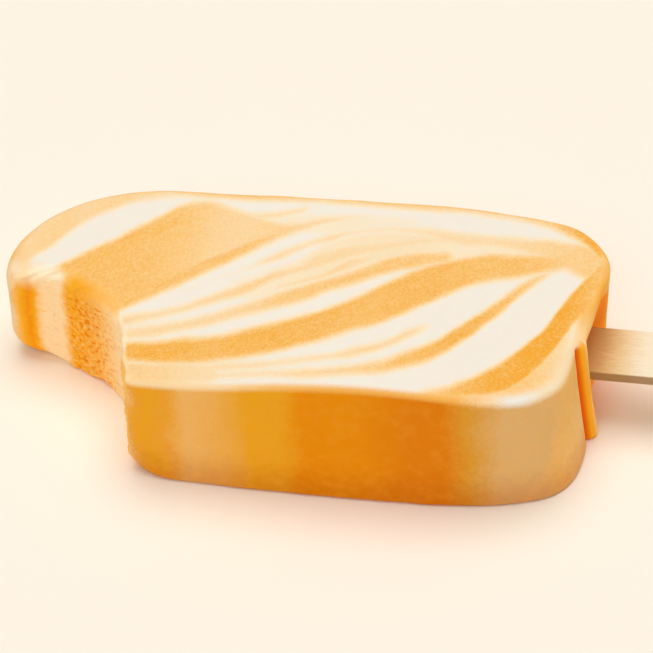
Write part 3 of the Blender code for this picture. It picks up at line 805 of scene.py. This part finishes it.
class Paint:
    """A material while it is mixed."""

    def __init__(self, name):
        self.material = bpy.data.materials.new(name)
        self.material.use_nodes = True
        self.tree = self.material.node_tree
        self.shader = self.tree.nodes["Principled BSDF"]

    def node(self, kind, settings, *values, output=0, **named):
        """Adds a node of this kind and gives its output. Its settings are set first, then its sockets."""
        node = self.tree.nodes.new(kind)
        for name, setting in settings.items():
            if name == "stops":
                self.set_stops(node.color_ramp, setting)
            elif name == "points":
                self.set_points(node.mapping, setting)
            else:
                setattr(node, name, setting)
        for key, value in [*enumerate(values), *named.items()]:
            self.feed(pick_socket(node.inputs, key), value)
        return Channel(self, pick_socket(node.outputs, output))

    def feed(self, socket, value):
        """Links a channel to the socket, or sets it to a plain value."""
        if isinstance(value, Channel):
            self.tree.links.new(value.socket, socket)
        else:
            socket.default_value = value

    def set_stops(self, ramp, stops):
        ramp.elements.remove(ramp.elements[1])
        for index, (place, colour) in enumerate(stops):
            stop = ramp.elements[0] if index == 0 else ramp.elements.new(place)
            stop.position = place
            stop.color = (*colour, 1)

    def set_points(self, mapping, points):
        curve = mapping.curves[0]
        curve.points[0].location = points[0]
        curve.points[1].location = points[-1]
        for point in points[1:-1]:
            curve.points.new(*point)
        mapping.update()

    def connect(self, **sockets):
        """Feeds the shader's sockets, named with underscores for spaces."""
        for name, value in sockets.items():
            self.feed(self.shader.inputs[name.replace("_", " ")], value)

    def parts(self, vector):
        """The three numbers of a vector."""
        split = self.node("ShaderNodeSeparateXYZ", {}, vector)
        return [Channel(self, number) for number in split.socket.node.outputs]

    def attribute(self, name):
        return self.node("ShaderNodeAttribute", {"attribute_name": name}, output="Fac")

    def bump(self, height):
        """The relief that this height, in millimetres, gives the surface."""
        return self.node("ShaderNodeBump", {}, Strength=1.0, Distance=MM, Height=height)

    def ease(self, value, start, end, low=0.0, high=1.0):
        """low before start, high after end, and a slope between them that eases in and out."""
        settings = {"interpolation_type": "SMOOTHSTEP"}
        return self.node("ShaderNodeMapRange", settings, value, start, end, low, high)

    def soft(self, value, width):
        """0 below zero and 1 above it, with an eased slope of this width between them."""
        return self.ease(value, -width / 2, width / 2)

    def share(self, value, low, high):
        """How far value is from low to high, from 0 to 1."""
        return self.node("ShaderNodeMapRange", {}, value, low, high, 0.0, 1.0)

    def mix(self, share, first, second):
        """Two colours mixed by share."""
        sockets = {"Factor_Float": share, "A_Color": first, "B_Color": second}
        return self.node("ShaderNodeMix", {"data_type": "RGBA"}, output="Result_Color", **sockets)

    def noise(self, place, size, detail=2.0, roughness=0.5, output="Fac"):
        """Noise of this size, in the units of place, from 0 to 1."""
        sockets = {"Scale": 1 / size, "Detail": detail, "Roughness": roughness}
        return self.node("ShaderNodeTexNoise", {}, place, output=output, **sockets)

    def vector(self, operation, *values, **named):
        return self.node("ShaderNodeVectorMath", {"operation": operation}, *values, **named)

    def curve(self, share, points):
        """A smooth curve over 0 to 1 through these points."""
        return self.node("ShaderNodeFloatCurve", {"points": points}, 1.0, share)

    def colours(self, value, stops):
        """The colour that these stops give for value."""
        low, high = stops[0][0], stops[-1][0]
        placed = [((place - low) / (high - low), linear(colour)) for place, colour in stops]
        return self.node("ShaderNodeValToRGB", {"stops": placed}, self.share(value, low, high))

    def colour(self, seen):
        """A plain colour as seen on a screen."""
        return (*linear(seen), 1)


def along_streak(paint, along, points, item, scale):
    """A streak's item (its lower or upper edge or its strength) as a smooth curve along the bar."""
    low_x, high_x = PLAN_LENGTH
    curve = [((point[0] - low_x) / (high_x - low_x), 0.5 + point[item] / scale) for point in points]
    return (paint.curve(along, curve) - 0.5) * scale


def streak_amount(paint, x, y):
    """How orange the cut face is at (x, y), from 0 to a little over 1."""
    along = paint.share(x, *PLAN_LENGTH)
    amount = None
    for points in STREAKS.values():
        low = along_streak(paint, along, points, 1, PLAN_WIDTH)
        high = along_streak(paint, along, points, 2, PLAN_WIDTH)
        strength = along_streak(paint, along, points, 3, STRENGTH_RANGE)
        inside = (high - y).least(y - low)
        ends = (x - points[0][0]).least(points[-1][0] - x)
        shown = paint.soft(inside, STREAK_SOFTNESS) * paint.soft(ends, STREAK_END_SOFTNESS)
        here = shown * strength
        amount = here if amount is None else amount.most(here, STREAK_BLEND)
    return amount


def ice_cream_material(shift):
    """Orange and pale ice cream: streaked on the cut face, banded on the walls and round the bite."""
    paint = Paint("ice_cream")
    coordinates = paint.node("ShaderNodeTexCoord", {}, output="Object")
    place = paint.vector("SCALE", paint.vector("SUBTRACT", coordinates, shift), Scale=1 / MM)
    x, y, z = paint.parts(place)
    face = paint.attribute("face")
    crumbs = paint.attribute("crumb")
    on_bite = paint.ease(paint.attribute("bite"), *BITE_LOOK)
    grain = paint.noise(place, *GRAIN)
    mottle = paint.noise(place, *MOTTLE)
    blotch = paint.noise(place, *BLOTCH)
    drift_x, drift_y, _ = paint.parts(paint.noise(place, *DRIFT, output="Color"))
    fuzz_x, fuzz_y, _ = paint.parts(paint.noise(place, *FUZZ, output="Color"))

    # The streaks wander a little, and their edges are fuzzy
    streak_x = x + (drift_x - 0.5) * STREAK_DRIFT + (fuzz_x - 0.5) * STREAK_FUZZ
    streak_y = y + (drift_y - 0.5) * STREAK_DRIFT + (fuzz_y - 0.5) * STREAK_FUZZ
    orange = streak_amount(paint, streak_x, streak_y)
    turned = paint.node("ShaderNodeVectorRotate", {"rotation_type": "Z_AXIS"}, place, Angle=-FLOW_TURN)
    flow = paint.noise(paint.vector("MULTIPLY", turned, FLOW_STRETCH), *FLOW)
    evenness = EVEN_SHARE + MOTTLE_SHARE * mottle + FLOW_SHARE * flow + (grain - 0.5) * GRAIN_SHARE
    face_colour = paint.colours(orange * evenness, FACE_COLOURS)

    # The walls are banded along the bar, and darkened at their feet with painted shade
    wall_x = x + (drift_x - 0.5) * WALL_DRIFT + (fuzz_x - 0.5) * WALL_FUZZ + (grain - 0.5) * WALL_GRAIN
    near = paint.colours(wall_x, NEAR_WALL_COLOURS)
    foot = paint.ease(z + (blotch - 0.5) * FOOT_SHADE_BLOTCHES, *FOOT_SHADE_Z) * FOOT_SHADE_SHARE
    near = paint.mix(foot, near, paint.colour(SHADE_SIENNA))
    near = paint.mix(paint.ease(blotch, *GOLD_BLOTCHES) * GOLD_SHARE, near, paint.colour(GOLD))
    far = paint.colours(wall_x, FAR_WALL_COLOURS)
    on_far_side = paint.ease(y, *NEAR_TO_FAR_Y)
    wall = paint.mix(on_far_side, near, far)

    # The stick end: a crease deepened with painted shade, a step up to the rib, a recess, and a paler rim
    settled = (z / (THICKNESS / MM) - 0.5) * (SETTLE_AT_STICK / MM)
    step = paint.colours(x - STICK_END / MM + settled, STEP_COLOURS_WITH_CREASE_SHADE)
    end_y = y + (fuzz_y - 0.5) * END_FUZZ
    rim = paint.colours(end_y, RIM_COLOURS)
    above_rim_foot = z - paint.ease(y, *RIM_FOOT_Y, *RIM_FOOT_Z)
    inner = paint.mix(paint.ease(y, *RECESS_LOOK_Y), step, paint.colours(end_y, RECESS_COLOURS))
    inner = paint.mix(paint.ease(above_rim_foot, *RIM_LOOK_ABOVE_FOOT), inner, rim)
    past_crease = [CREASE_Y / MM + past for past in END_LOOK_PAST_CREASE]
    on_end = paint.ease(x, *END_LOOK_X) * paint.ease(y, *past_crease)
    wall = paint.mix(on_end, wall, inner)

    # The bite is banded round its scoop, with painted shade in the pits and painted light on the tips of its
    # crumbs
    turn = (y - BITE_Y / MM).maths("ARCTAN2", x - BITE_X / MM) * math.degrees(1)
    bite_turn = turn + (fuzz_x - 0.5) * BITE_FUZZ + (drift_x - 0.5) * BITE_DRIFT
    bitten = paint.colours(bite_turn, BITE_COLOURS)
    pit_shade = paint.ease(crumbs, *PIT_SHADE) * paint.ease(turn, *PIT_SHADE_TURNS, *PIT_SHADE_SHARES)
    bitten = paint.mix(pit_shade, bitten, paint.colour(PIT_SHADE_COLOUR))
    bitten = paint.mix(paint.ease(crumbs, *TIP_LIGHT) * TIP_LIGHT_SHARE, bitten, paint.colour(TIP_LIGHT_COLOUR))
    on_horn = paint.ease(turn, *HORN_LOOK_TURNS) * paint.ease(x, *HORN_LOOK_X) * paint.ease(y, *HORN_LOOK_Y)
    bite_side = on_bite.most(on_horn)
    side = paint.mix(bite_side, wall, bitten)

    # Between the walls and the cut face runs a lip of its own colour
    near_lip = paint.colours(wall_x, NEAR_LIP_COLOURS)
    lip = paint.mix(on_far_side, near_lip, paint.colours(wall_x, FAR_LIP_COLOURS))
    lip = paint.mix(paint.ease(x, *RIM_LIP_X) * paint.ease(y, *RIM_LIP_Y), lip, rim)
    lip = paint.mix(bite_side, lip, paint.colours(bite_turn, BITE_LIP_COLOURS))
    blurred = face + (grain - 0.5) * LIP_GRAIN
    horn_top = paint.ease(z, *HORN_TOP_Z) * paint.ease(turn, *HORN_TOP_TURNS) * bite_side
    side = paint.mix(paint.ease(blurred, *LIP_LOOK).most(horn_top), side, lip)
    colour = paint.mix(paint.ease(blurred, *FACE_LOOK), side, face_colour)

    # Light scatters a little in the ice, and painted light makes its sides glow by a share of their colour;
    # the grain roughens all of it, the bite the most
    painted_glow = paint.mix(on_bite, grey(WALL_PAINTED_GLOW), grey(BITE_PAINTED_GLOW))
    painted_glow = paint.mix(on_end, painted_glow, grey(END_PAINTED_GLOW))
    painted_glow = paint.mix(face, painted_glow, grey(0))
    height = between(grain * GRAIN_HEIGHT, grain * BITE_GRAIN_HEIGHT, on_bite * (1 - face))
    paint.connect(
        Base_Color=colour,
        Roughness=ICE_ROUGHNESS + ICE_GRAIN_ROUGHNESS * grain,
        Normal=paint.bump(height),
        Subsurface_Weight=SCATTER_SHARE,
        Subsurface_Radius=SCATTER_BY_COLOUR,
        Subsurface_Scale=SCATTER_REACH,
        Specular_IOR_Level=ICE_GLOSS,
        Emission_Color=paint.vector("MULTIPLY", colour, painted_glow),
        Emission_Strength=1.0,
    )
    return paint.material


def wood_material(bar_end):
    """Pale planed wood with its grain along X, wet and darker where it comes out of the ice cream."""
    paint = Paint("stick_wood")
    place = paint.vector("SCALE", paint.node("ShaderNodeTexCoord", {}, output="Object"), Scale=1 / MM)
    x, _, z = paint.parts(place)
    stretched = paint.vector("MULTIPLY", place, WOOD_STRETCH)
    fibre = paint.noise(stretched, *FIBRE)
    band = paint.noise(stretched, *BAND)
    wet = paint.ease(x, *[bar_end / MM + past for past in WET_PAST_BAR_END])
    shade = WOOD_SHADE + (fibre - 0.5) * FIBRE_SHARE + (band - 0.5) * BAND_SHARE - wet * WET_SHARE
    colour = paint.colours(shade, WOOD_COLOURS)
    # Painted shade darkens the stick's upright sides
    below_top = paint.ease(z, *[(STICK_Z + STICK_DEPTH / 2) / MM - depth for depth in WOOD_SIDE_SHADE_DEPTH])
    above_bottom = paint.ease(z, *[(STICK_Z - STICK_DEPTH / 2) / MM + depth for depth in WOOD_SIDE_SHADE_DEPTH])
    colour = paint.mix(below_top * above_bottom * WOOD_SIDE_SHADE_SHARE, colour, paint.colour(WOOD_SIDE_SHADE))
    roughness = WOOD_ROUGHNESS + BAND_ROUGHNESS * band
    paint.connect(Base_Color=colour, Roughness=roughness, Normal=paint.bump(fibre * FIBRE_HEIGHT))
    return paint.material


def add_floor():
    paint = Paint("floor")
    coordinates = paint.node("ShaderNodeTexCoord", {}, output="Object")
    lighter = [share * FLOOR_CLOUD_SHADE for share in FLOOR_COLOUR]
    colour = paint.mix(paint.noise(coordinates, FLOOR_CLOUD), (*FLOOR_COLOUR, 1), (*lighter, 1))
    paint.connect(Base_Color=colour, Roughness=FLOOR_ROUGHNESS, Specular_IOR_Level=0.0)
    bm = bmesh.new()
    bmesh.ops.create_grid(bm, x_segments=2, y_segments=2, size=FLOOR_SIZE / 2)
    floor = add_object("floor", bm, paint.material)


def add_light():
    world = bpy.data.worlds.new("studio")
    world.use_nodes = True
    background = world.node_tree.nodes["Background"]
    background.inputs["Color"].default_value = (*SKY_COLOUR, 1)
    background.inputs["Strength"].default_value = SKY
    bpy.context.scene.world = world
    lights = (("front light", FRONT_LIGHT, FRONT_LIGHT_FROM, FRONT_LIGHT_SPREAD),
              ("top light", TOP_LIGHT, TOP_LIGHT_FROM, TOP_LIGHT_SPREAD))
    for name, strength, comes_from, spread in lights:
        lamp = bpy.data.lights.new(name, "SUN")
        lamp.energy = strength
        lamp.angle = spread
        light = bpy.data.objects.new(name, lamp)
        light.rotation_euler = Vector(comes_from).to_track_quat("Z", "Y").to_euler()
        bpy.context.scene.collection.objects.link(light)


def add_camera(shift):
    level_back = Vector((math.sin(CAMERA_AZIMUTH), -math.cos(CAMERA_AZIMUTH), 0))
    back = level_back * math.cos(CAMERA_ELEVATION) + Vector((0, 0, math.sin(CAMERA_ELEVATION)))
    level_right = Vector((0, 0, 1)).cross(back).normalized()
    level_up = back.cross(level_right)
    right = level_right * math.cos(CAMERA_ROLL) - level_up * math.sin(CAMERA_ROLL)
    up = level_up * math.cos(CAMERA_ROLL) + level_right * math.sin(CAMERA_ROLL)
    data = bpy.data.cameras.new("camera")
    data.sensor_width = CAMERA_SENSOR
    data.lens = PIXELS_PER_MM * (CAMERA_DISTANCE / MM) * CAMERA_SENSOR / PIXELS_ACROSS
    data.clip_start = CAMERA_CLIP_START
    data.clip_end = 2 * FLOOR_SIZE
    camera = bpy.data.objects.new("camera", data)
    place = Vector(CAMERA_LOOKS_AT) + shift + back * CAMERA_DISTANCE
    camera.matrix_world = Matrix.Translation(place) @ Matrix((right, up, back)).transposed().to_4x4()
    bpy.context.scene.collection.objects.link(camera)
    bpy.context.scene.camera = camera


def plan_shift():
    """From the bar's own measures to the row's frame, by where the stick is in each."""
    low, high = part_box("stick")
    face_x = STICK_END + SHOULDER
    stick_middle = Vector((face_x - STICK_SUNK + STICK_LENGTH / 2, STICK_Y, STICK_Z))
    return (low + high) / 2 - stick_middle


shift = plan_shift()
bpy.context.scene.view_settings.view_transform = "Standard"
ice_cream = add_object("ice_cream_dressed", lofted_bar(shift), ice_cream_material(shift))
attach(ice_cream, "root")
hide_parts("ice_cream")
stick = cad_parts["stick"]
stick.data.materials.clear()
stick.data.materials.append(wood_material(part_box("ice_cream")[1].x))
add_floor()
add_light()
add_camera(shift)
